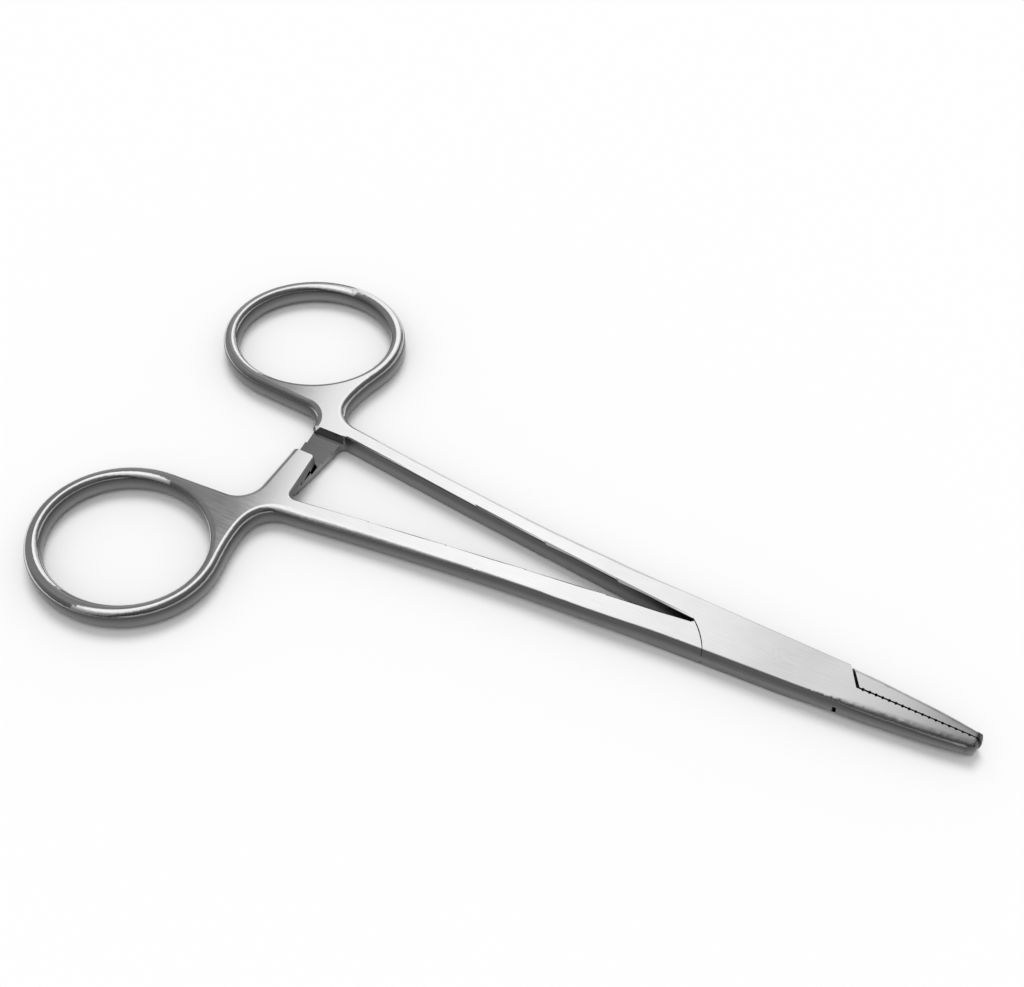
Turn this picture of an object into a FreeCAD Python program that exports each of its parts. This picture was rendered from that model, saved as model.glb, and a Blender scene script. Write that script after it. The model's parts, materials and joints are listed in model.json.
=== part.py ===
"""A 15 cm needle holder: two forged halves crossing in a box lock, held by a flush pin.

Frame: origin on the pin axis at the underside, +X to the jaw tips, +Y to the ring of the
slotted half, +Z up. All lengths are millimetres.
"""

import math
import os

import FreeCAD
import Part

# Body
THICKNESS = 4.0
TIP_X = 31.8
TIP_DROP = 0.45
TIP_STAGGER = 0.35
NOSE_LENGTH = 1.5
NOSE_SHAVE = 0.1
NOSE_HALF_WIDTH = 1.2
NOSE_Y = 0.45

# Shanks, from the crotch of the box back to the neck of the ring
CROTCH_X = -13.2
CROTCH_Y = 0.22
SHANK_LENGTH = 67.3
SHANK_SLOPE = 0.1145
SHANK_BOW = 0.3
SHANK_WIDTH = 3.15
SHANK_ROUNDING = 1.3
EDGE_ROUNDING = 0.35
FLARE_LENGTH = 14.8
FLARE_STEP = 1.094
FLARE_SLOPE = 0.075

# Finger rings: half axes to the middle of the ring wire, and its place at the shank's end
RING_HALF_LENGTH = 15.58
RING_HALF_WIDTH = 14.0
RING_BACK_STEP = 4.67
RING_SIDE_STEP = 5.744
RING_TILT = math.radians(8.2)
RING_WIRE = 2.7
RING_ROUNDING = 1.4

# Neck web between ring, shank and ratchet arm
NECK_BACK_STEP = 5.0
NECK_MEET = math.radians(353.0)
WEB_RADIUS = 4.2
WEB_SLOPE = math.radians(-3.3)

# Ratchet arms, each half as thick as the body
ARM_BACK_STEP = 2.0
ARM_WIDTH = 5.5
ARM_TAPER = 0.9
ARM_CORNER = 1.2
ARM_TIP_CORNER = 0.9
ARM_TIP_SLANT = 0.4
ARM_BEVEL = 1.6
LOWER_ARM_REACH = 4.9
UPPER_ARM_REACH = 1.95
UPPER_TOOTH_Y = 6.12
LOWER_TOOTH_Y = 5.3
TOOTH_PITCH = 2.85
TOOTH_DEPTH = 0.6
RATCHET_GAP = 0.05

# Box lock
BOX_HALF_WIDTH = 4.05
BOX_TAPER = 0.039
BOX_ROUNDING = 0.4
SEAM_BACK_LENGTH = 3.3
SEAM_MIDDLE_LENGTH = 1.75
SEAM_MIDDLE_Y = 1.7
SEAM_FRONT_X = 10.65
SEAM_FRONT_GAP = 0.42
SEAM_BACK_GAP = 0.22
SEAM_FLANK_GAP = 0.12
BOTTOM_PLATE = 0.85
WEB_THICKNESS = 1.2
WEB_END_GAP = 0.35
SLOT_FLANK_STEP = 0.6
SLOT_ROOT_INSET = 0.7
SLOT_CLEARANCE = 0.03
WALL_CLEARANCE = 0.08
PIN_RADIUS = 1.6
PIN_CLEARANCE = 0.03

# Jaws, with lengths counted from the front seam of the box
JAW_BACK_LENGTH = 2.1
JAW_ROUND_LENGTH = 6.35
JAW_EASE_LENGTH = 8.0
JAW_EASE_ROUNDING = 0.85
JAW_ROUNDING = 1.38
JAW_CHEEK_INSET = 0.12
JAW_CHEEK_SLOPE = 0.105
JAW_SWELL = 0.26
JAW_END = 1.25
JAW_END_SLOPE = 0.15
JAW_RUN_ON = 2.2
JAW_GAP_BACK = 0.32
JAW_GAP_TIP = 0.08
GROOVE_PITCH = 1.0
GROOVE_DEPTH = 0.2
GROOVE_WIDTH = 0.5

# Places that follow from the sizes
SHANK_END_X = CROTCH_X - SHANK_LENGTH
SHANK_END_Y = CROTCH_Y + SHANK_SLOPE * SHANK_LENGTH
FLARE_X = CROTCH_X - FLARE_LENGTH
RING_X = SHANK_END_X - RING_BACK_STEP - RING_HALF_LENGTH
RING_Y = SHANK_END_Y + RING_SIDE_STEP + RING_HALF_WIDTH
NECK_X = SHANK_END_X - NECK_BACK_STEP
ARM_FRONT_X = SHANK_END_X - ARM_BACK_STEP
ARM_BACK_X = ARM_FRONT_X - ARM_WIDTH
RECESS_Y = SHANK_END_Y
SEAM_BACK_X = CROTCH_X + SEAM_BACK_LENGTH
SEAM_MIDDLE_X = CROTCH_X + SEAM_MIDDLE_LENGTH
JAW_BACK_X = SEAM_FRONT_X + JAW_BACK_LENGTH
JAW_EASE_X = SEAM_FRONT_X - JAW_EASE_LENGTH
JAW_ROUND_X = SEAM_FRONT_X + JAW_ROUND_LENGTH
JAW_RUN_X = TIP_X + JAW_RUN_ON
SLOT_STOP_X = SEAM_FRONT_X + SLOT_FLANK_STEP
SLOT_ROOT_X = JAW_BACK_X - SLOT_ROOT_INSET

# Length that reaches clear of the body when cutting
FAR = 200.0


def point(x, y, z=0.0):
    return FreeCAD.Vector(x, y, z)


def direction(x, y):
    vector = FreeCAD.Vector(x, y, 0)
    vector.normalize()
    return vector


def line(a, b):
    return Part.LineSegment(a, b).toShape()


def arc(a, b, c):
    return Part.Arc(a, b, c).toShape()


def spline(points, start=None, end=None):
    """Smooth edge through the points, with unit end directions where they are given."""
    curve = Part.BSplineCurve()
    if start is None:
        curve.interpolate(points)
    else:
        curve.interpolate(Points=points, InitialTangent=start, FinalTangent=end)
    return curve.toShape()


def prism(edges, bottom, top):
    """Solid between two heights over the plan region that the edges enclose."""
    wire = Part.Wire(Part.__sortEdges__(edges))
    face = Part.Face(wire)
    solid = face.extrude(point(0, 0, top - bottom))
    solid.translate(point(0, 0, bottom))
    return solid


def polygon(points, bottom, top):
    corners = [point(x, y) for x, y in points]
    wire = Part.makePolygon(corners + corners[:1])
    solid = Part.Face(wire).extrude(point(0, 0, top - bottom))
    solid.translate(point(0, 0, bottom))
    return solid


def box_edge(x):
    """Half width of the box at x."""
    return BOX_HALF_WIDTH - BOX_TAPER * x


def jaw_face(x):
    """Distance of a gripping face from the centre line at x."""
    share = (x - JAW_BACK_X) / (TIP_X - JAW_BACK_X)
    return 0.5 * (JAW_GAP_BACK + (JAW_GAP_TIP - JAW_GAP_BACK) * share)


def shank_inner(x):
    """Inner edge of the shank: a straight run with a slight inward bow."""
    share = (CROTCH_X - x) / (CROTCH_X - SHANK_END_X)
    return CROTCH_Y + SHANK_SLOPE * (CROTCH_X - x) - 4.0 * SHANK_BOW * share * (1.0 - share)


def ring_point(offset, angle):
    """Point at an angle round the plan ellipse that lies at an offset from the ring wire's middle."""
    along = direction(math.cos(RING_TILT), math.sin(RING_TILT))
    across = direction(-math.sin(RING_TILT), math.cos(RING_TILT))
    reach = along * ((RING_HALF_LENGTH + offset) * math.cos(angle))
    return point(RING_X, RING_Y) + reach + across * ((RING_HALF_WIDTH + offset) * math.sin(angle))


def ring_ellipse(offset):
    """Plan ellipse at an offset from the middle of the ring wire."""
    quarter = 0.5 * math.pi
    turn = 0.0 if RING_HALF_LENGTH > RING_HALF_WIDTH else quarter
    return Part.Ellipse(
        ring_point(offset, turn),
        ring_point(offset, turn + quarter),
        point(RING_X, RING_Y),
    )


def back_chain(arm_end_y):
    """Outline from the arm's tip round the web, ring, neck and shank to the box.

    Each edge comes with its rounding radius at the two ends.
    """
    outset = 0.5 * RING_WIRE
    outer = ring_ellipse(outset)
    turn = WEB_SLOPE - RING_TILT
    rise = (RING_HALF_WIDTH + outset) * math.cos(turn)
    run = (RING_HALF_LENGTH + outset) * math.sin(turn)
    web_end = ring_point(outset, math.atan2(-rise, run))
    neck_start = ring_point(outset, NECK_MEET)
    meet = outer.parameter(neck_start)
    neck_way = outer.tangent(meet)[0] * -1.0
    ring_arc = Part.Arc(outer, meet, outer.parameter(web_end) + 2.0 * math.pi)
    rounding = min(RING_ROUNDING, 0.45 * RING_WIRE)
    normal = direction(-math.sin(WEB_SLOPE), math.cos(WEB_SLOPE))
    centre_x = ARM_BACK_X - WEB_RADIUS
    centre_y = (web_end.dot(normal) - WEB_RADIUS - centre_x * normal.x) / normal.y
    web_centre = point(centre_x, centre_y)
    arm_top = point(ARM_BACK_X, centre_y)
    web_top = web_centre + normal * WEB_RADIUS
    half_turn = 0.5 * (0.5 * math.pi + WEB_SLOPE)
    web_middle = web_centre + direction(math.cos(half_turn), math.sin(half_turn)) * WEB_RADIUS
    shank_way = direction(1, -SHANK_SLOPE)
    shank_start = point(SHANK_END_X, shank_inner(SHANK_END_X) + SHANK_WIDTH)
    neck_points = [neck_start]
    for swell, share in ((0.6, 0.63), (0.0, 0.38), (0.15, 0.224), (1.1, 0.104), (2.7, 0.033)):
        height = shank_start.y + share * (neck_start.y - shank_start.y)
        neck_points.append(point(NECK_X + swell, height))
    neck_points.append(shank_start)
    flare_way = direction(1, -FLARE_SLOPE)
    flare = point(FLARE_X, box_edge(CROTCH_X) + FLARE_STEP)
    flare_width = flare.y - shank_inner(FLARE_X)
    shank_points = [shank_start]
    for share, widening in ((0.2, 0.02), (0.4, 0.07), (0.6, 0.17), (0.8, 0.43)):
        x = SHANK_END_X + share * (FLARE_X - SHANK_END_X)
        width = SHANK_WIDTH + widening * (flare_width - SHANK_WIDTH)
        shank_points.append(point(x, shank_inner(x) + width))
    shank_points.append(flare)
    box_start = point(CROTCH_X, box_edge(CROTCH_X))
    box_way = direction(1, -BOX_TAPER)
    return [
        (line(point(ARM_BACK_X, arm_end_y), arm_top), rounding, rounding),
        (arc(arm_top, web_middle, web_top), rounding, rounding),
        (line(web_top, web_end), rounding, rounding),
        (ring_arc.toShape(), rounding, rounding),
        (spline(neck_points, neck_way, shank_way), rounding, SHANK_ROUNDING),
        (spline(shank_points, shank_way, flare_way), SHANK_ROUNDING, SHANK_ROUNDING),
        (spline([flare, box_start], flare_way, box_way), SHANK_ROUNDING, BOX_ROUNDING),
        (line(box_start, point(SEAM_FRONT_X, box_edge(SEAM_FRONT_X))), BOX_ROUNDING, BOX_ROUNDING),
    ]


def front_chain():
    """Outline of the other flank: box side and jaw, run on past the tip to be cut off."""
    back = point(SEAM_BACK_X, -box_edge(SEAM_BACK_X))
    front = point(SEAM_FRONT_X, -box_edge(SEAM_FRONT_X))
    ease = point(JAW_EASE_X, -box_edge(JAW_EASE_X))
    cheek = point(JAW_ROUND_X, JAW_CHEEK_INSET - box_edge(JAW_ROUND_X))
    end = point(JAW_RUN_X, -JAW_END)
    box_way = direction(1, BOX_TAPER)
    cheek_way = direction(1, JAW_CHEEK_SLOPE)
    end_way = direction(1, JAW_END_SLOPE)
    middle = cheek * 0.45 + end * 0.55 - point(0, JAW_SWELL)
    rounding = min(JAW_ROUNDING, 0.45 * (THICKNESS - 2.0 * side_drop(JAW_RUN_X)))
    return [
        (line(back, ease), BOX_ROUNDING, BOX_ROUNDING),
        (line(ease, front), BOX_ROUNDING, JAW_EASE_ROUNDING),
        (spline([front, cheek], box_way, cheek_way), JAW_EASE_ROUNDING, rounding),
        (spline([cheek, middle, end], cheek_way, end_way), rounding, rounding),
    ]


def inward_edges(arm_end_y):
    """The outline that faces inward: jaw face, both seams, then shank and arm to the arm's tip."""
    front_top = point(SEAM_FRONT_X, box_edge(SEAM_FRONT_X))
    jaw_root = point(JAW_BACK_X, -jaw_face(JAW_BACK_X))
    jaw_end = point(JAW_RUN_X, -jaw_face(JAW_RUN_X))
    crotch = point(CROTCH_X, CROTCH_Y)
    seam_low = point(SEAM_BACK_X, -box_edge(SEAM_BACK_X))
    corner_x = ARM_FRONT_X + ARM_CORNER
    shank_corner = point(corner_x, shank_inner(corner_x))
    arm_corner = point(ARM_FRONT_X, shank_corner.y - ARM_CORNER)
    bow_x = 0.5 * (CROTCH_X + corner_x)
    inset = (1.0 - math.sqrt(0.5)) * ARM_CORNER
    corner_middle = point(ARM_FRONT_X + inset, shank_corner.y - inset)
    front_end = point(ARM_FRONT_X - ARM_TAPER, arm_end_y + ARM_TIP_SLANT)
    tip_front = point(front_end.x - ARM_TIP_CORNER, front_end.y - ARM_TIP_CORNER)
    tip_inset = (1.0 - math.sqrt(0.5)) * ARM_TIP_CORNER
    tip_middle = point(front_end.x - tip_inset, tip_front.y + tip_inset)
    tip_back = point(ARM_BACK_X + ARM_BEVEL, tip_front.y)
    return [
        line(point(JAW_RUN_X, -JAW_END), jaw_end),
        line(jaw_end, jaw_root),
        line(jaw_root, front_top),
        arc(seam_low, point(SEAM_MIDDLE_X, -SEAM_MIDDLE_Y), crotch),
        arc(crotch, point(bow_x, shank_inner(bow_x)), shank_corner),
        arc(shank_corner, corner_middle, arm_corner),
        line(arm_corner, front_end),
        arc(front_end, tip_middle, tip_front),
        line(tip_front, tip_back),
        line(tip_back, point(ARM_BACK_X, arm_end_y)),
    ]


def inner_chain(arm_end_y):
    """The lightly rounded edges: inner side of the shank and the front and end of the arm."""
    return [(edge, EDGE_ROUNDING, EDGE_ROUNDING) for edge in inward_edges(arm_end_y)[4:9]]


def side_drop(x):
    """How far the top of a jaw has come down at x, and its underside up."""
    radius = (TIP_X - SEAM_FRONT_X) ** 2 / (2.0 * TIP_DROP)
    return radius - math.sqrt(radius**2 - (x - SEAM_FRONT_X) ** 2)


def side_envelope():
    """Side view of the body: level over the box, thinning in a long arc over the jaws."""
    middle_x = 0.5 * (SEAM_FRONT_X + JAW_RUN_X)
    upper = [point(SEAM_FRONT_X, 0, THICKNESS)]
    lower = [point(SEAM_FRONT_X, 0, 0)]
    for x in (middle_x, JAW_RUN_X):
        upper.append(point(x, 0, THICKNESS - side_drop(x)))
        lower.append(point(x, 0, side_drop(x)))
    edges = [
        line(point(-FAR, 0, THICKNESS), upper[0]),
        arc(*upper),
        line(upper[2], lower[2]),
        arc(*lower),
        line(lower[0], point(-FAR, 0, 0)),
        line(point(-FAR, 0, 0), point(-FAR, 0, THICKNESS)),
    ]
    face = Part.Face(Part.Wire(Part.__sortEdges__(edges)))
    face.translate(point(0, -FAR, 0))
    return face.extrude(point(0, 2 * FAR, 0))


def nose_envelope(tip_x):
    """Everything behind the jaw tip, closed by an end that is round in plan and in side view."""
    start = tip_x - NOSE_LENGTH
    middle = 0.5 * THICKNESS
    behind = Part.makeBox(FAR, 2 * FAR, 2 * FAR, point(start - FAR, -FAR, -FAR))
    centre = point(start, -NOSE_Y, 0)
    plan = Part.Ellipse(centre + point(NOSE_LENGTH, 0), centre + point(0, NOSE_HALF_WIDTH), centre)
    plan_end = Part.Face(Part.Wire(plan.toShape())).extrude(point(0, 0, 3 * THICKNESS))
    plan_end.translate(point(0, 0, -THICKNESS))
    centre = point(start, 0, middle)
    half_height = middle - NOSE_SHAVE
    side = Part.Ellipse(centre + point(0, 0, half_height), centre + point(NOSE_LENGTH, 0), centre)
    side_end = Part.Face(Part.Wire(side.toShape())).extrude(point(0, 4 * NOSE_HALF_WIDTH, 0))
    side_end.translate(point(0, -3 * NOSE_HALF_WIDTH, 0))
    return behind.fuse(plan_end.common(side_end))


def round_edges(solid, chain):
    """Round the top and bottom edges that lie over a chain of outline edges."""
    document = FreeCAD.newDocument()
    base = document.addObject("Part::Feature", "Base")
    base.Shape = solid
    fillet = document.addObject("Part::Fillet", "Fillet")
    fillet.Base = base
    wanted = []
    for outline, start_radius, end_radius in chain:
        middle = outline.valueAt(0.5 * (outline.FirstParameter + outline.LastParameter))
        first = outline.valueAt(outline.FirstParameter)
        for index, edge in enumerate(base.Shape.Edges, 1):
            if edge.BoundBox.ZLength > 0.5 * THICKNESS:
                continue
            rod = line(point(middle.x, middle.y, -1), point(middle.x, middle.y, THICKNESS + 1))
            if edge.distToShape(rod)[0] > 0.02:
                continue
            head = edge.valueAt(edge.FirstParameter)
            forward = math.hypot(head.x - first.x, head.y - first.y) < 0.05
            radii = (start_radius, end_radius) if forward else (end_radius, start_radius)
            wanted.append((index, *radii))
    fillet.Edges = wanted
    document.recompute()
    shape = fillet.Shape.copy()
    FreeCAD.closeDocument(document.Name)
    return shape


def half_blank(arm_reach, tip_x):
    """One half as forged and ground, before the lock, the recess and the teeth are cut."""
    arm_end_y = ARM_TIP_CORNER - ARM_TIP_SLANT - arm_reach
    back = back_chain(arm_end_y)
    front = front_chain()
    outline = [edge for edge, _, _ in back + front] + inward_edges(arm_end_y)
    body = prism(outline, -1.0, THICKNESS + 1.0)
    body = body.common(side_envelope())
    hole = ring_ellipse(-0.5 * RING_WIRE).toShape()
    body = body.cut(prism([hole], -1.0, THICKNESS + 1.0))
    body = round_edges(body, back)
    rounding = min(RING_ROUNDING, 0.45 * RING_WIRE)
    body = round_edges(body, [(hole, rounding, rounding)])
    body = round_edges(body, front)
    body = round_edges(body, inner_chain(arm_end_y))
    return body.common(nose_envelope(tip_x))


def recess_arm(body, first_tooth_y, reach):
    """Cut the arm down to half thickness and cut ratchet teeth into its face.

    Each tooth stands up square on the ring side and falls away in a ramp toward the arm's end.
    """
    crest = 0.5 * THICKNESS - RATCHET_GAP
    left = ARM_BACK_X - WEB_RADIUS
    width = ARM_FRONT_X + ARM_CORNER - left + 1.0
    end = -reach - 1.0
    cutters = [Part.makeBox(width, RECESS_Y - end, THICKNESS, point(left, end, crest))]
    face_y = first_tooth_y + TOOTH_PITCH
    while face_y > end:
        ramp = [
            point(left, face_y, crest + 0.01),
            point(left, face_y - TOOTH_PITCH, crest + 0.01),
            point(left, face_y - TOOTH_PITCH, crest - TOOTH_DEPTH),
        ]
        gullet = Part.Face(Part.makePolygon(ramp + ramp[:1])).extrude(point(width, 0, 0))
        if face_y > RECESS_Y:
            gullet = gullet.cut(Part.makeBox(FAR, FAR, FAR, point(-FAR, RECESS_Y, -1)))
        cutters.append(gullet)
        face_y -= TOOTH_PITCH
    return body.cut(cutters)


def cut_grooves(body, tip_x):
    """Gripping grooves straight down the jaw face, one every pitch."""
    cutters = []
    half = 0.5 * GROOVE_WIDTH
    x = JAW_BACK_X + GROOVE_PITCH
    while x < tip_x - NOSE_LENGTH:
        mouth = -jaw_face(x) + 0.02
        corners = [(x - half, mouth), (x + half, mouth), (x, mouth - 0.02 - GROOVE_DEPTH)]
        cutters.append(polygon(corners, -1.0, THICKNESS + 1.0))
        x += GROOVE_PITCH
    return body.cut(cutters)


def lock_slot():
    """The mortise through the box, wide enough for the web to pass and to turn."""
    wall_x = SEAM_BACK_X - WALL_CLEARANCE
    crotch_x = CROTCH_X - WALL_CLEARANCE
    seam = arc(
        point(wall_x, box_edge(SEAM_BACK_X)),
        point(SEAM_MIDDLE_X - WALL_CLEARANCE, SEAM_MIDDLE_Y),
        point(crotch_x, -CROTCH_Y),
    )
    wide = 2.0 * BOX_HALF_WIDTH
    corners = [
        point(crotch_x, -CROTCH_Y),
        point(crotch_x, -wide),
        point(SLOT_STOP_X, -wide),
        point(SLOT_STOP_X, -box_edge(SLOT_STOP_X)),
        point(SLOT_ROOT_X, jaw_face(JAW_BACK_X)),
        point(JAW_RUN_X, jaw_face(JAW_BACK_X)),
        point(JAW_RUN_X, wide),
        point(wall_x, wide),
        point(wall_x, box_edge(SEAM_BACK_X)),
    ]
    edges = [seam]
    for a, b in zip(corners, corners[1:]):
        edges.append(line(a, b))
    return prism(edges, BOTTOM_PLATE, BOTTOM_PLATE + WEB_THICKNESS + 2.0 * SLOT_CLEARANCE)


def web_relief(low, high):
    """What is cut from the pass-through half over one height range, to leave only its web."""
    wide = 2.0 * BOX_HALF_WIDTH
    crotch = point(CROTCH_X - SEAM_BACK_GAP, CROTCH_Y)
    low_end = point(SEAM_BACK_X - SEAM_FLANK_GAP, -box_edge(SEAM_BACK_X))
    middle = point(SEAM_MIDDLE_X - SEAM_BACK_GAP, -SEAM_MIDDLE_Y)
    corners = [
        crotch,
        point(crotch.x, wide),
        point(SEAM_FRONT_X + SEAM_FRONT_GAP, wide),
        point(SEAM_FRONT_X + SEAM_FRONT_GAP, box_edge(SEAM_FRONT_X)),
        point(JAW_BACK_X + SEAM_FRONT_GAP, jaw_face(JAW_BACK_X)),
        point(JAW_BACK_X + SEAM_FRONT_GAP, -wide),
        point(low_end.x, -wide),
        low_end,
    ]
    edges = [arc(low_end, middle, crotch)]
    for a, b in zip(corners, corners[1:]):
        edges.append(line(a, b))
    return prism(edges, low, high)


def slotted_half():
    tip_x = TIP_X - TIP_STAGGER
    body = half_blank(LOWER_ARM_REACH, tip_x)
    body = recess_arm(body, LOWER_TOOTH_Y, LOWER_ARM_REACH)
    body = cut_grooves(body, tip_x)
    body = body.cut(lock_slot())
    return body.cut(Part.makeCylinder(PIN_RADIUS, 3 * THICKNESS, point(0, 0, -THICKNESS)))


def through_half():
    """The mating half: the same blank turned over, thinned to a web where it passes the slot."""
    body = half_blank(UPPER_ARM_REACH, TIP_X)
    body = recess_arm(body, UPPER_TOOTH_Y, UPPER_ARM_REACH)
    body = cut_grooves(body, TIP_X)
    body.rotate(point(0, 0, 0.5 * THICKNESS), point(1, 0, 0), 180)
    web_low = BOTTOM_PLATE + SLOT_CLEARANCE
    web_high = web_low + WEB_THICKNESS
    body = body.cut(web_relief(-1.0, web_low))
    body = body.cut(web_relief(web_high, THICKNESS + 1.0))
    stop_x = SLOT_STOP_X - WEB_END_GAP
    wide = 2.0 * BOX_HALF_WIDTH
    face = jaw_face(JAW_BACK_X)
    corners = [
        (stop_x, -wide),
        (stop_x, -box_edge(stop_x)),
        (SLOT_ROOT_X - WEB_END_GAP, face),
        (JAW_RUN_X, face),
        (JAW_RUN_X, -wide),
    ]
    body = body.cut(polygon(corners, -1.0, THICKNESS + 1.0))
    bore = PIN_RADIUS + PIN_CLEARANCE
    return body.cut(Part.makeCylinder(bore, 3 * THICKNESS, point(0, 0, -THICKNESS)))


def lock_pin():
    return Part.makeCylinder(PIN_RADIUS, THICKNESS)


def main():
    os.makedirs("parts", exist_ok=True)
    pieces = {
        "slotted_half": slotted_half(),
        "through_half": through_half(),
        "lock_pin": lock_pin(),
    }
    for name, shape in pieces.items():
        if shape.ShapeType == "Compound" and len(shape.Solids) == 1:
            shape = shape.Solids[0]
        print(name, shape.isValid(), len(shape.Solids), round(shape.Volume, 1))
        shape.exportStep(os.path.join("parts", name + ".step"))


if __name__ == "__main__":
    main()
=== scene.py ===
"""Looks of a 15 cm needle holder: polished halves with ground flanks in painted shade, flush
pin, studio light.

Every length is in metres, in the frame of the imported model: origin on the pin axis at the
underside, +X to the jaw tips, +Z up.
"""

import json
import logging
import math
from dataclasses import dataclass
from enum import Enum

import bpy
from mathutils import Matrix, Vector

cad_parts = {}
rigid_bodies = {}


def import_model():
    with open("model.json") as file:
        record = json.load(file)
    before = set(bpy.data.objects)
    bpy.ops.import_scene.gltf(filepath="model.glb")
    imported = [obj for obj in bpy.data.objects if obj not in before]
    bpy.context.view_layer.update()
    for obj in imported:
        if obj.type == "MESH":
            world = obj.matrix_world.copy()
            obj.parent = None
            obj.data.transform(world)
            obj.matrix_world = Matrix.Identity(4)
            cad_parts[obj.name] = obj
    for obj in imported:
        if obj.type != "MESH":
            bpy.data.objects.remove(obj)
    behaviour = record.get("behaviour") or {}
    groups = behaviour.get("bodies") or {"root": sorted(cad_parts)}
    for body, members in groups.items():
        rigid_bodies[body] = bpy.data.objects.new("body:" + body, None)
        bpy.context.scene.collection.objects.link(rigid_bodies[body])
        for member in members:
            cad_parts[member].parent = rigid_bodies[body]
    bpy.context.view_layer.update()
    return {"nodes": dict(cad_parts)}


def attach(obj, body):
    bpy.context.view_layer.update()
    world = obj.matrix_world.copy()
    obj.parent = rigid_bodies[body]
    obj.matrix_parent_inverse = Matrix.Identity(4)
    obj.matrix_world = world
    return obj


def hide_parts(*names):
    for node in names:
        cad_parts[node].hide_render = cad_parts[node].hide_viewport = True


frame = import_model()

LOG = logging.getLogger("needle_holder")
MM = 0.001

Socket = bpy.types.NodeSocket
Colour = tuple[float, float, float]

# A reach is where a finish or a light begins, and where it is full.
Reach = tuple[float, float]

# Stops are places, each with the level there.
Stops = tuple[tuple[float, float], ...]


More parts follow.
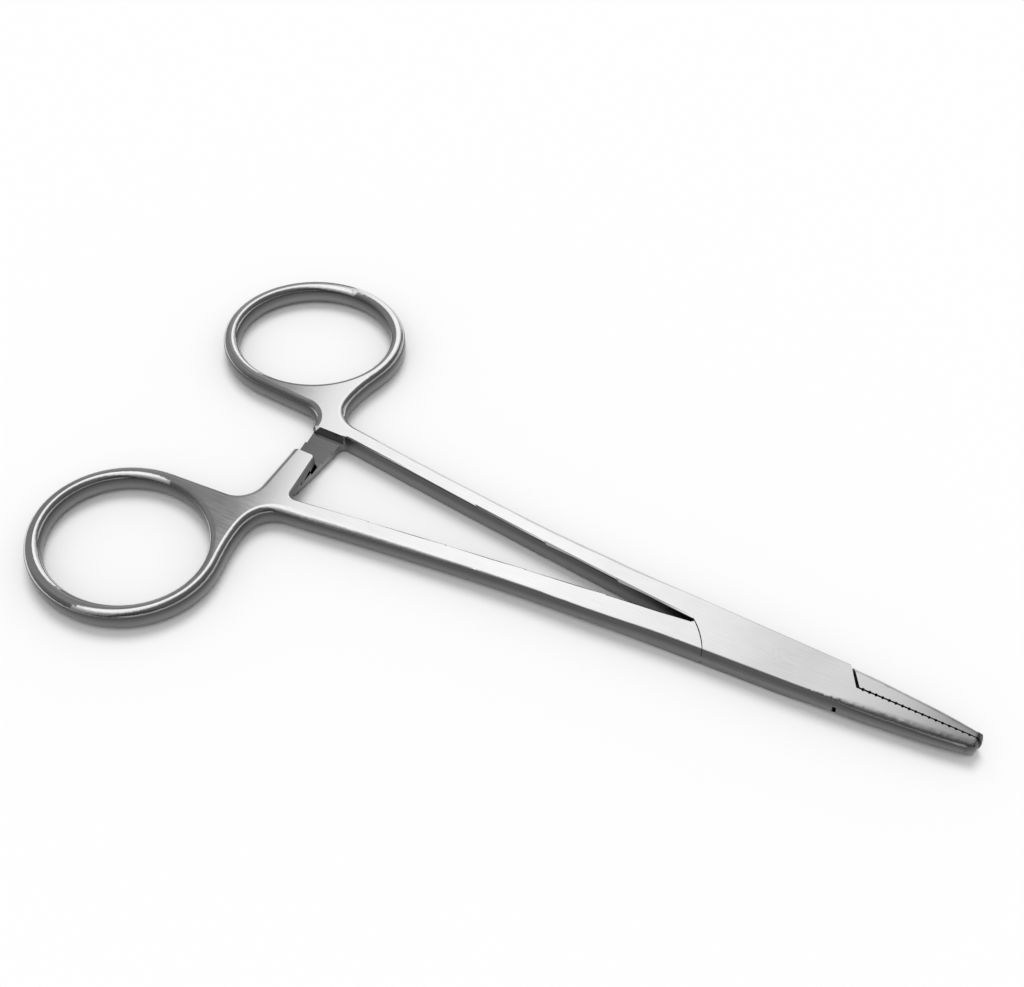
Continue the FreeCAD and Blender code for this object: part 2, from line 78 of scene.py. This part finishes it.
class Graph:
    """A node tree, with short calls for the nodes used here."""

    def __init__(self, tree: bpy.types.NodeTree) -> None:
        """Work on this tree."""
        self.tree = tree

    def node(self, kind: str) -> bpy.types.Node:
        """Add a node of the kind that has this name in Blender."""
        return self.tree.nodes.new(kind)

    def join(self, source: Socket, target: Socket) -> None:
        """Link one socket to another."""
        self.tree.links.new(source, target)

    def feed(self, target: Socket, value: Socket | Colour | float) -> None:
        """Link a socket to its source, or set its value.

        Args:
            target: The socket to feed.
            value: A socket, a colour or a number.
        """
        if isinstance(value, float):
            target.default_value = value
        elif isinstance(value, tuple):
            target.default_value = (*value, 1.0)
        else:
            self.join(value, target)

    def coordinates(self, output: str) -> Socket:
        """Give one of the object's own coordinate outputs."""
        return self.node("ShaderNodeTexCoord").outputs[output]

    def parts(self, vector: Socket) -> tuple[Socket, Socket, Socket]:
        """Split a vector into its three numbers.

        Args:
            vector: The vector to split.

        Returns:
            Its X, Y and Z.
        """
        split = self.node("ShaderNodeSeparateXYZ")
        self.join(vector, split.inputs["Vector"])
        return split.outputs["X"], split.outputs["Y"], split.outputs["Z"]

    def stretch(self, vector: Socket, scale: tuple[float, float, float]) -> Socket:
        """Scale a vector by axis.

        Args:
            vector: The vector to scale.
            scale: Factor on each axis.

        Returns:
            The scaled vector.
        """
        mapping = self.node("ShaderNodeMapping")
        mapping.inputs["Scale"].default_value = scale
        self.join(vector, mapping.inputs["Vector"])
        return mapping.outputs["Vector"]

    def unit(self, vector: Socket) -> Socket:
        """Give a vector the length 1.

        Args:
            vector: The vector.

        Returns:
            The vector of the same direction.
        """
        shortened = self.node("ShaderNodeVectorMath")
        shortened.operation = "NORMALIZE"
        self.join(vector, shortened.inputs[0])
        return shortened.outputs["Vector"]

    def noise(self, vector: Socket, scale: float, detail: float) -> Socket:
        """Add a noise pattern.

        Args:
            vector: Where the pattern is read.
            scale: Its scale.
            detail: Its octaves.

        Returns:
            The pattern, about 0.5 on average.
        """
        pattern = self.node("ShaderNodeTexNoise")
        pattern.inputs["Scale"].default_value = scale
        pattern.inputs["Detail"].default_value = detail
        self.join(vector, pattern.inputs["Vector"])
        return pattern.outputs["Fac"]

    def maths(self, operation: str, first: Socket | float, second: Socket | float) -> Socket:
        """Combine two numbers.

        Args:
            operation: Blender's name for the arithmetic.
            first: First number or socket.
            second: Second number or socket.

        Returns:
            The result.
        """
        node = self.node("ShaderNodeMath")
        node.operation = operation
        self.feed(node.inputs[0], first)
        self.feed(node.inputs[1], second)
        return node.outputs["Value"]

    def product(self, first: Socket, *others: Socket | float) -> Socket:
        """Multiply numbers.

        Args:
            first: The first number.
            *others: The numbers to multiply it by.

        Returns:
            The product of all.
        """
        result = first
        for factor in others:
            result = self.maths("MULTIPLY", result, factor)
        return result

    def band(self, value: Socket, reach: Reach, low: float = 0.0, high: float = 1.0) -> Socket:
        """Ease a number from one level to another.

        Args:
            value: The number that drives it.
            reach: Where the low level ends, and where the high level begins.
            low: The low level.
            high: The high level.

        Returns:
            The eased level.
        """
        ease = self.node("ShaderNodeMapRange")
        ease.interpolation_type = "SMOOTHSTEP"
        ease.inputs["From Min"].default_value = reach[0]
        ease.inputs["From Max"].default_value = reach[1]
        ease.inputs["To Min"].default_value = low
        ease.inputs["To Max"].default_value = high
        self.join(value, ease.inputs["Value"])
        return ease.outputs["Result"]

    def curve(self, value: Socket, stops: Stops, top: float) -> Socket:
        """Read a level from stops over -1 to 1.

        Args:
            value: Where the level is read.
            stops: Place and level of each stop.
            top: The highest level that the stops may give.

        Returns:
            The level, as a grey colour, divided by top.
        """
        spread = self.node("ShaderNodeMapRange")
        spread.inputs["From Min"].default_value = -1.0
        self.join(value, spread.inputs["Value"])
        ramp = self.node("ShaderNodeValToRGB")
        elements = ramp.color_ramp.elements
        while len(elements) < len(stops):
            elements.new(1.0)
        for element, (place, level) in zip(elements, stops):
            element.position = 0.5 * (place + 1.0)
            element.color = (level / top,) * 3 + (1.0,)
        self.join(spread.outputs["Result"], ramp.inputs["Fac"])
        return ramp.outputs["Color"]

    def blend(self, factor: Socket, first: Socket | Colour, second: Socket | Colour) -> Socket:
        """Mix two colours.

        Args:
            factor: Share of the second colour.
            first: First colour, or its socket.
            second: Second colour, or its socket.

        Returns:
            The mixed colour.
        """
        mix = self.node("ShaderNodeMix")
        mix.data_type = "RGBA"
        self.join(factor, mix.inputs[0])
        self.feed(mix.inputs[6], first)
        self.feed(mix.inputs[7], second)
        return mix.outputs[2]

    def filtered(self, colour: Socket, other: Socket) -> Socket:
        """Multiply two colours.

        Args:
            colour: The one colour.
            other: The other colour.

        Returns:
            The product.
        """
        product = self.node("ShaderNodeVectorMath")
        product.operation = "MULTIPLY"
        self.join(colour, product.inputs[0])
        self.join(other, product.inputs[1])
        return product.outputs["Vector"]

    def shaded(self, colour: Socket, factor: Socket) -> Socket:
        """Multiply a colour by a number.

        Args:
            colour: The colour.
            factor: The number.

        Returns:
            The product.
        """
        product = self.node("ShaderNodeVectorMath")
        product.operation = "SCALE"
        self.join(colour, product.inputs[0])
        self.join(factor, product.inputs["Scale"])
        return product.outputs["Vector"]


class Coat(Graph):
    """The node tree of a new material."""

    def __init__(self, name: str) -> None:
        """Start an empty material.

        Args:
            name: The material's name.
        """
        self.material = bpy.data.materials.new(name)
        self.material.use_nodes = True
        super().__init__(self.material.node_tree)
        self.tree.nodes.clear()

    def output(self, surface: Socket) -> bpy.types.Material:
        """Finish the material.

        Args:
            surface: The shader that it shows.

        Returns:
            The finished material.
        """
        out = self.node("ShaderNodeOutputMaterial")
        self.join(surface, out.inputs["Surface"])
        return self.material


@dataclass(frozen=True)
class CameraSet:
    """The camera at the photograph's viewing angle.

    Attributes:
        place: Where it stands.
        target: The point that it looks at.
        lens_mm: Focal length.
        sensor_mm: Width of its sensor.
        nearest: Nearest distance that it sees.
        farthest: Farthest distance that it sees.
    """

    place: tuple[float, float, float] = (23.415 * MM, -127.827 * MM, 177.953 * MM)
    target: tuple[float, float, float] = (-51.67 * MM, 13.05 * MM, 0.0)
    lens_mm: float = 49.72
    sensor_mm: float = 36.0
    nearest: float = 0.01
    farthest: float = 20.0

    def build(self) -> None:
        """Create the camera and make it the scene's own."""
        data = bpy.data.cameras.new("camera")
        data.sensor_fit = "HORIZONTAL"
        data.sensor_width = self.sensor_mm
        data.lens = self.lens_mm
        data.clip_start = self.nearest
        data.clip_end = self.farthest
        camera = bpy.data.objects.new("camera", data)
        bpy.context.scene.collection.objects.link(camera)
        place = Vector(self.place)
        camera.location = place
        camera.rotation_euler = (Vector(self.target) - place).to_track_quat("-Z", "Y").to_euler()
        bpy.context.scene.camera = camera


@dataclass(frozen=True)
class Spot:
    """A point of the steel.

    Attributes:
        place: Its place in the object's own coordinates.
        along: The place by X, towards the jaw tips.
        across: The place by Y.
        height: The place by Z, above the underside.
        facing: How far the surface faces up, from -1 to 1.
    """

    place: Socket
    along: Socket
    across: Socket
    height: Socket
    facing: Socket

    @classmethod
    def of(cls, coat: Coat) -> "Spot":
        """Read the point from the object's own coordinates.

        Args:
            coat: The material being built.

        Returns:
            The point.
        """
        place = coat.coordinates("Object")
        facing = coat.parts(coat.coordinates("Normal"))[2]
        return cls(place, *coat.parts(place), facing)


@dataclass(frozen=True)
class StepFace:
    """The upright face over the lower ratchet arm, and the arm's apron at its foot.

    Attributes:
        back: Its end at the ring, along X.
        front: Its end at the shank, along X.
        foot: Its lower edge, along Z.
        outer: The far side of the face, along Y.
        inner: The near side of the face, along Y.
        apron: The near side of the apron, along Y.
    """

    back: Reach = (-87.6 * MM, -87.4 * MM)
    front: Reach = (-81.6 * MM, -81.8 * MM)
    foot: Reach = (1.95 * MM, 2.05 * MM)
    outer: Reach = (8.1 * MM, 8.0 * MM)
    inner: Reach = (7.7 * MM, 7.8 * MM)
    apron: Reach = (6.4 * MM, 7.2 * MM)

    def mark(self, coat: Coat, spot: Spot, near: Reach) -> Socket:
        """Mark the face, or the face and its apron.

        Args:
            coat: The material being built.
            spot: The point of the steel.
            near: The near side of what is marked, along Y.

        Returns:
            1 there, 0 everywhere else.
        """
        return coat.product(
            coat.band(spot.along, self.back),
            coat.band(spot.along, self.front),
            coat.band(spot.across, near),
            coat.band(spot.across, self.outer),
            coat.band(spot.height, self.foot),
        )


@dataclass(frozen=True)
class Steel:
    """Stainless steel, polished on top and ground to a rougher satin on the flanks, whose darker
    colour is painted shade.

    Attributes:
        name: The material's name.
        bright: Colour of the polished faces.
        flank: Colour of the ground flanks, darkened as painted shade.
        shoulder_shade: Colour of the rounding between them, darkened further as painted shade.
        seam_shade: Colour of the painted shade at the bottom of seams, grooves and gullets.
        gloss: Roughness of the polished faces.
        jaw_gloss: Roughness of the polished faces on the jaws.
        satin: Roughness of the ground flanks.
        ground: How far the steel faces up where grinding and the flanks' painted shade begin and
            are full.
        rounded: How far it faces up where the rounding's painted shade begins and is full.
        flank_shade: Height on a flank where its painted shading to the top begins and is full.
        flank_low: How bright a flank is below that.
        flank_high: How bright it is above.
        grain_length: Length of one grinding mark along X.
        grain_width: Width of one grinding mark.
        grain_depth: Height of the grinding marks.
        grain_detail: Octaves of the grinding marks.
        grain_colour: How far the marks lighten and darken the steel.
        grain_rough: How far the marks change the roughness.
        cloud_scale: Scale of the soft clouding, per metre.
        cloud_detail: Octaves of the clouding.
        cloud_share: Weight of the clouding beside the marks.
        mark_range: Lowest and highest level of marks and clouding together.
        seam_reach: How near another face has to be for a seam to get painted shade.
        seam_power: How fast the painted shade in seams deepens.
        seam_rays: Rays that look for that face.
        jaw: Place along X where the jaws' softer polish begins and is full.
        nose: Place along X where the ground nose, darkened by painted shade, begins and is full.
        arm_shade_height: Height where the painted shade on the ratchet arm ends and is full.
        arm_shade_behind: Place along X behind which the arm lies.
        arm_shade_facing: How far the steel faces up where the arm's painted shade begins and is
            full.
        arm_shade_depth: How dark the arm's painted shade is beside the polished faces.
        step: The face over the arm, polished and free of the painted shade of flanks and seams.
    """

    name: str
    bright: Colour = (0.62, 0.62, 0.625)
    flank: Colour = (0.21, 0.21, 0.212)
    shoulder_shade: Colour = (0.17, 0.17, 0.172)
    seam_shade: Colour = (0.05, 0.05, 0.05)
    gloss: float = 0.085
    jaw_gloss: float = 0.19
    satin: float = 0.3
    ground: Reach = (0.62, 0.36)
    rounded: Reach = (0.02, 0.14)
    flank_shade: Reach = (1.0 * MM, 3.0 * MM)
    flank_low: float = 1.5
    flank_high: float = 0.5
    grain_length: float = 5.0 * MM
    grain_width: float = 0.16 * MM
    grain_depth: float = 0.002 * MM
    grain_detail: float = 3.0
    grain_colour: float = 0.06
    grain_rough: float = 0.06
    cloud_scale: float = 220.0
    cloud_detail: float = 2.0
    cloud_share: float = 0.5
    mark_range: Reach = (0.35, 1.15)
    seam_reach: float = 0.6 * MM
    seam_power: float = 1.6
    seam_rays: int = 8
    jaw: Reach = (8.0 * MM, 14.0 * MM)
    nose: Reach = (30.4 * MM, 30.9 * MM)
    arm_shade_height: Reach = (2.7 * MM, 2.6 * MM)
    arm_shade_behind: Reach = (-60.0 * MM, -61.0 * MM)
    arm_shade_facing: Reach = (0.55, 0.75)
    arm_shade_depth: float = 0.2
    step: StepFace = StepFace()

    def build(self) -> bpy.types.Material:
        """Make the material.

        Returns:
            The finished material.
        """
        coat = Coat(self.name)
        spot = Spot.of(coat)
        grain = self.grain(coat, spot)
        cloud = coat.noise(spot.place, self.cloud_scale, self.cloud_detail)
        mark = coat.maths("ADD", grain, coat.product(cloud, self.cloud_share))
        side = self.side(coat, spot)
        shader = coat.node("ShaderNodeBsdfPrincipled")
        shader.inputs["Metallic"].default_value = 1.0
        coat.join(self.tone(coat, spot, side, mark), shader.inputs["Base Color"])
        coat.join(self.roughness(coat, spot, side, mark), shader.inputs["Roughness"])
        coat.join(self.relief(coat, grain), shader.inputs["Normal"])
        return coat.output(shader.outputs["BSDF"])

    def grain(self, coat: Coat, spot: Spot) -> Socket:
        """Draw the grinding marks, long along X and fine across it.

        Args:
            coat: The material being built.
            spot: The point of the steel.

        Returns:
            The level of the marks.
        """
        across = 1.0 / self.grain_width
        lines = coat.stretch(spot.place, (1.0 / self.grain_length, across, across))
        return coat.noise(lines, 1.0, self.grain_detail)

    def relief(self, coat: Coat, grain: Socket) -> Socket:
        """Raise the grinding marks a little.

        Args:
            coat: The material being built.
            grain: The level of the marks.

        Returns:
            The normal with the marks in it.
        """
        bump = coat.node("ShaderNodeBump")
        bump.inputs["Distance"].default_value = self.grain_depth
        bump.inputs["Strength"].default_value = 1.0
        coat.join(grain, bump.inputs["Height"])
        return bump.outputs["Normal"]

    def side(self, coat: Coat, spot: Spot) -> Socket:
        """Mark the ground steel, darkened by painted shade: the flanks and the nose, but not the
        face over the arm.

        Args:
            coat: The material being built.
            spot: The point of the steel.

        Returns:
            1 on ground steel, 0 on polished steel.
        """
        polished = self.step.mark(coat, spot, self.step.inner)
        flanks = coat.band(spot.facing, self.ground)
        flanks = coat.product(flanks, coat.maths("SUBTRACT", 1.0, polished))
        return coat.maths("MAXIMUM", flanks, coat.band(spot.along, self.nose))

    def tone(self, coat: Coat, spot: Spot, side: Socket, mark: Socket) -> Socket:
        """Colour the steel, with painted shade on the flanks, their rounding, the nose, the
        ratchet arm and the seams.

        Args:
            coat: The material being built.
            spot: The point of the steel.
            side: Share of ground steel, which gets painted shade.
            mark: Level of the grinding marks and the clouding.

        Returns:
            The colour.
        """
        # Painted shade: the flanks, their rounding and the nose get a dark colour, darker
        # towards the top.
        rounding_shade = coat.product(side, coat.band(spot.facing, self.rounded))
        lean = coat.band(spot.height, self.flank_shade, self.flank_low, self.flank_high)
        ground = coat.shaded(coat.blend(rounding_shade, self.flank, self.shoulder_shade), lean)
        steel = coat.blend(side, self.bright, ground)
        darkest = 1.0 - self.grain_colour
        brightest = 1.0 + self.grain_colour
        marks = coat.band(mark, self.mark_range, darkest, brightest)
        # Grinding marks, and painted shade on the lower ratchet arm.
        steel = coat.shaded(steel, coat.product(marks, self.arm_shade(coat, spot)))
        # Painted shade where other faces or the floor lie near: seams, grooves, gullets and the
        # foot of the steel.
        return coat.blend(self.open_sky(coat, spot), self.seam_shade, steel)

    def arm_shade(self, coat: Coat, spot: Spot) -> Socket:
        """Darken the top of the lower ratchet arm with painted shade.

        Args:
            coat: The material being built.
            spot: The point of the steel.

        Returns:
            A factor for the colour, with the painted shade, 1 everywhere else.
        """
        arm = coat.product(
            coat.band(spot.height, self.arm_shade_height),
            coat.band(spot.facing, self.arm_shade_facing),
            coat.band(spot.along, self.arm_shade_behind),
        )
        return coat.band(arm, (0.0, 1.0), 1.0, self.arm_shade_depth)

    def open_sky(self, coat: Coat, spot: Spot) -> Socket:
        """Tell open faces from the bottom of seams, grooves and gullets, where shade is painted.

        Args:
            coat: The material being built.
            spot: The point of the steel.

        Returns:
            1 in the open, 0 deep in a seam.
        """
        around = coat.node("ShaderNodeAmbientOcclusion")
        around.samples = self.seam_rays
        around.inputs["Distance"].default_value = self.seam_reach
        clear = coat.maths("POWER", around.outputs["AO"], self.seam_power)
        return coat.maths("MAXIMUM", clear, self.step.mark(coat, spot, self.step.apron))

    def roughness(self, coat: Coat, spot: Spot, side: Socket, mark: Socket) -> Socket:
        """Set how rough the steel is.

        Args:
            coat: The material being built.
            spot: The point of the steel.
            side: Share of ground steel.
            mark: Level of the grinding marks and the clouding.

        Returns:
            The roughness.
        """
        polish = coat.band(spot.along, self.jaw, self.gloss, self.jaw_gloss)
        grinding = coat.band(side, (0.0, 1.0), 0.0, self.satin - self.gloss)
        swing = 0.5 * self.grain_rough
        marks = coat.band(mark, self.mark_range, -swing, swing)
        return coat.maths("ADD", coat.maths("ADD", polish, grinding), marks)


class Finish(Enum):
    """The steel finishes, one to a kind of part."""

    HALF = Steel("half_steel")
    PIN = Steel("flush_pin_steel", grain_length=0.6 * MM, grain_colour=0.05)


@dataclass(frozen=True)
class KeyLight:
    """The soft light that lights the floor and throws the object's shadow.

    Attributes:
        azimuth: Degrees round the object from the front, to the right.
        elevation: Degrees above the floor.
        softness: Width of the light in degrees.
        strength: Its strength.
    """

    azimuth: float = 208.0
    elevation: float = 60.0
    softness: float = 28.0
    strength: float = 1.25

    def build(self) -> None:
        """Create the lamp."""
        data = bpy.data.lights.new("key_light", "SUN")
        data.angle = math.radians(self.softness)
        data.energy = self.strength
        lamp = bpy.data.objects.new("key_light", data)
        bpy.context.scene.collection.objects.link(lamp)
        az = math.radians(self.azimuth)
        el = math.radians(self.elevation)
        way = Vector((math.sin(az) * math.cos(el), -math.cos(az) * math.cos(el), math.sin(el)))
        lamp.location = way
        lamp.rotation_euler = (-way).to_track_quat("-Z", "Y").to_euler()
        lamp.visible_glossy = False
        lamp.visible_camera = False


@dataclass(frozen=True)
class LightTent:
    """A long white light cloth overhead and darker cloths beside it, seen in the steel.

    A place on the tent is told by its direction from the object, with the length 1.

    Attributes:
        radius: Radius of the tent.
        facets: How often its sphere is divided.
        edge: Where the left cloth ends and the light cloth begins, by X.
        strip: Brightness of the light cloth, by X.
        fade: Its falling off to the front and far back, by Y.
        left: Brightness of the left cloth, by Y.
        wall: Brightness of the pale low wall on the right.
        wall_height: Where the cloths end and the wall is full, by Z.
        wall_side: Where the wall begins and is full, by X.
        top: The highest brightness.
    """

    radius: float = 8.0
    facets: int = 5
    edge: Reach = (-0.483, -0.452)
    strip: Stops = (
        (-0.44, 1.36),
        (-0.3, 1.52),
        (-0.2, 1.36),
        (-0.14, 1.26),
        (-0.1, 1.02),
        (-0.06, 1.06),
        (0.01, 1.08),
        (0.05, 0.66),
        (0.1, 0.36),
        (0.2, 0.22),
        (0.34, 0.15),
        (1.0, 0.09),
    )
    fade: Stops = (
        (-1.0, 0.09),
        (-0.9, 0.19),
        (-0.8, 0.31),
        (-0.7, 0.41),
        (-0.6, 0.55),
        (-0.5, 0.7),
        (-0.38, 1.0),
        (0.82, 1.0),
        (0.96, 0.6),
    )
    left: Stops = (
        (-1.0, 0.1),
        (-0.6, 0.13),
        (-0.3, 0.21),
        (-0.1, 0.28),
        (0.45, 0.27),
        (0.6, 0.42),
        (0.75, 0.28),
        (0.95, 0.12),
    )
    wall: float = 0.6
    wall_height: Reach = (0.38, 0.3)
    wall_side: Reach = (0.1, 0.4)
    top: float = 1.6

    def build(self) -> None:
        """Hang the tent."""
        bpy.ops.object.select_all(action="DESELECT")
        bpy.ops.mesh.primitive_ico_sphere_add(subdivisions=self.facets, radius=self.radius)
        tent = bpy.context.active_object
        tent.name = "light_tent"
        tent.data.materials.append(self.cloth())
        tent.visible_camera = False
        tent.visible_diffuse = False
        tent.visible_transmission = False
        tent.visible_shadow = False

    def cloth(self) -> bpy.types.Material:
        """Make the tent's cloth, lit from behind.

        Returns:
            The cloth's material.
        """
        coat = Coat("tent_cloth")
        right, back, up = coat.parts(coat.unit(coat.coordinates("Object")))
        strip = coat.curve(right, self.strip, self.top)
        overhead = coat.filtered(strip, coat.curve(back, self.fade, 1.0))
        beside = coat.curve(back, self.left, self.top)
        cloths = coat.blend(coat.band(right, self.edge), beside, overhead)
        walled = coat.product(coat.band(up, self.wall_height), coat.band(right, self.wall_side))
        wall = (self.wall / self.top,) * 3
        glow = coat.node("ShaderNodeEmission")
        glow.inputs["Strength"].default_value = self.top
        coat.join(coat.blend(walled, cloths, wall), glow.inputs["Color"])
        material = coat.output(glow.outputs["Emission"])
        material.cycles.emission_sampling = "NONE"
        return material


@dataclass(frozen=True)
class Stage:
    """The plain pale floor and the surrounding white.

    Attributes:
        floor_colour: Colour of the floor.
        floor_roughness: Its roughness.
        floor_size: Length of its sides.
        fill: Strength of the soft white light that comes from all round.
    """

    floor_colour: Colour = (0.97, 0.97, 0.97)
    floor_roughness: float = 0.9
    floor_size: float = 6.0
    fill: float = 0.68

    def build(self) -> None:
        """Lay the floor and set the world."""
        bpy.ops.object.select_all(action="DESELECT")
        bpy.ops.mesh.primitive_plane_add(size=self.floor_size, location=(0.0, 0.0, 0.0))
        floor = bpy.context.active_object
        floor.name = "floor"
        coat = Coat("pale_floor")
        shader = coat.node("ShaderNodeBsdfPrincipled")
        shader.inputs["Base Color"].default_value = (*self.floor_colour, 1.0)
        shader.inputs["Roughness"].default_value = self.floor_roughness
        shader.inputs["Specular IOR Level"].default_value = 0.0
        floor.data.materials.append(coat.output(shader.outputs["BSDF"]))
        self.surround()

    def surround(self) -> None:
        """Set the world: white where it is seen, and a soft fill for the floor."""
        world = bpy.data.worlds.new("studio")
        world.use_nodes = True
        graph = Graph(world.node_tree)
        background = world.node_tree.nodes["Background"]
        background.inputs["Color"].default_value = (1.0, 1.0, 1.0, 1.0)
        rays = graph.node("ShaderNodeLightPath").outputs
        seen = graph.maths("MAXIMUM", rays["Is Camera Ray"], rays["Is Glossy Ray"])
        seen = graph.maths("MAXIMUM", seen, rays["Is Transmission Ray"])
        level = graph.band(seen, (0.0, 1.0), self.fill, 1.0)
        graph.join(level, background.inputs["Strength"])
        bpy.context.scene.world = world


@dataclass(frozen=True)
class PolishedHalf:
    """One half of the instrument, with the soft, unbroken shine of its buffed roundings.

    Attributes:
        part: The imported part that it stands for.
        body: The body that it moves with.
        merge: How near two corners have to be to become one.
        flat: Neighbouring faces that bend less than this, in degrees, become one.
        crease: Bends sharper than this, in degrees, stay crisp edges.
    """

    part: str
    body: str
    merge: float = 0.001 * MM
    flat: float = 0.05
    crease: float = 28.0

    def build(self, steel: bpy.types.Material) -> bpy.types.Object:
        """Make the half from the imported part's own form.

        Args:
            steel: The finish of the half.

        Returns:
            The finished piece.
        """
        piece = self.copy()
        bpy.ops.object.mode_set(mode="EDIT")
        bpy.ops.mesh.select_all(action="SELECT")
        bpy.ops.mesh.remove_doubles(threshold=self.merge)
        bpy.ops.mesh.dissolve_limited(angle_limit=math.radians(self.flat))
        bpy.ops.object.mode_set(mode="OBJECT")
        bpy.ops.mesh.customdata_custom_splitnormals_clear()
        bpy.ops.object.shade_smooth_by_angle(angle=math.radians(self.crease))
        weigh = piece.modifiers.new("weigh", "WEIGHTED_NORMAL")
        weigh.keep_sharp = True
        bpy.ops.object.modifier_apply(modifier=weigh.name)
        piece.data.materials.clear()
        piece.data.materials.append(steel)
        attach(piece, self.body)
        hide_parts(self.part)
        LOG.info("%s: %d faces, rides on %s", piece.name, len(piece.data.polygons), self.body)
        return piece

    def copy(self) -> bpy.types.Object:
        """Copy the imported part, which itself stays as it is.

        Returns:
            The copy, selected, active and free of any parent.
        """
        bpy.ops.object.select_all(action="DESELECT")
        source = frame["nodes"][self.part]
        source.select_set(True)
        bpy.context.view_layer.objects.active = source
        bpy.ops.object.duplicate()
        piece = bpy.context.active_object
        bpy.ops.object.parent_clear(type="CLEAR_KEEP_TRANSFORM")
        piece.name = f"{self.part}_polished"
        return piece


@dataclass(frozen=True)
class FlushPin:
    """The lock pin, ground flush with both faces of the box."""

    part: str = "lock_pin"

    def dress(self, steel: bpy.types.Material) -> None:
        """Give the pin its finish.

        Args:
            steel: The finish of the pin.
        """
        pin = frame["nodes"][self.part]
        pin.data.materials.clear()
        pin.data.materials.append(steel)
        LOG.info("%s: %d faces, dressed in %s", self.part, len(pin.data.polygons), steel.name)


@dataclass(frozen=True)
class NeedleHolder:
    """The instrument: two halves through each other in a box lock, and their pin."""

    slotted: PolishedHalf = PolishedHalf("slotted_half", "slotted_side")
    through: PolishedHalf = PolishedHalf("through_half", "through_side")
    pin: FlushPin = FlushPin()

    def build(self) -> None:
        """Make both halves and dress the pin."""
        steel = Finish.HALF.value.build()
        self.slotted.build(steel)
        self.through.build(steel)
        self.pin.dress(Finish.PIN.value.build())


def main() -> None:
    logging.basicConfig(level=logging.INFO, format="%(message)s")
    bpy.context.scene.view_settings.view_transform = "Standard"
    CameraSet().build()
    Stage().build()
    KeyLight().build()
    LightTent().build()
    NeedleHolder().build()


if __name__ == "__main__":
    main()
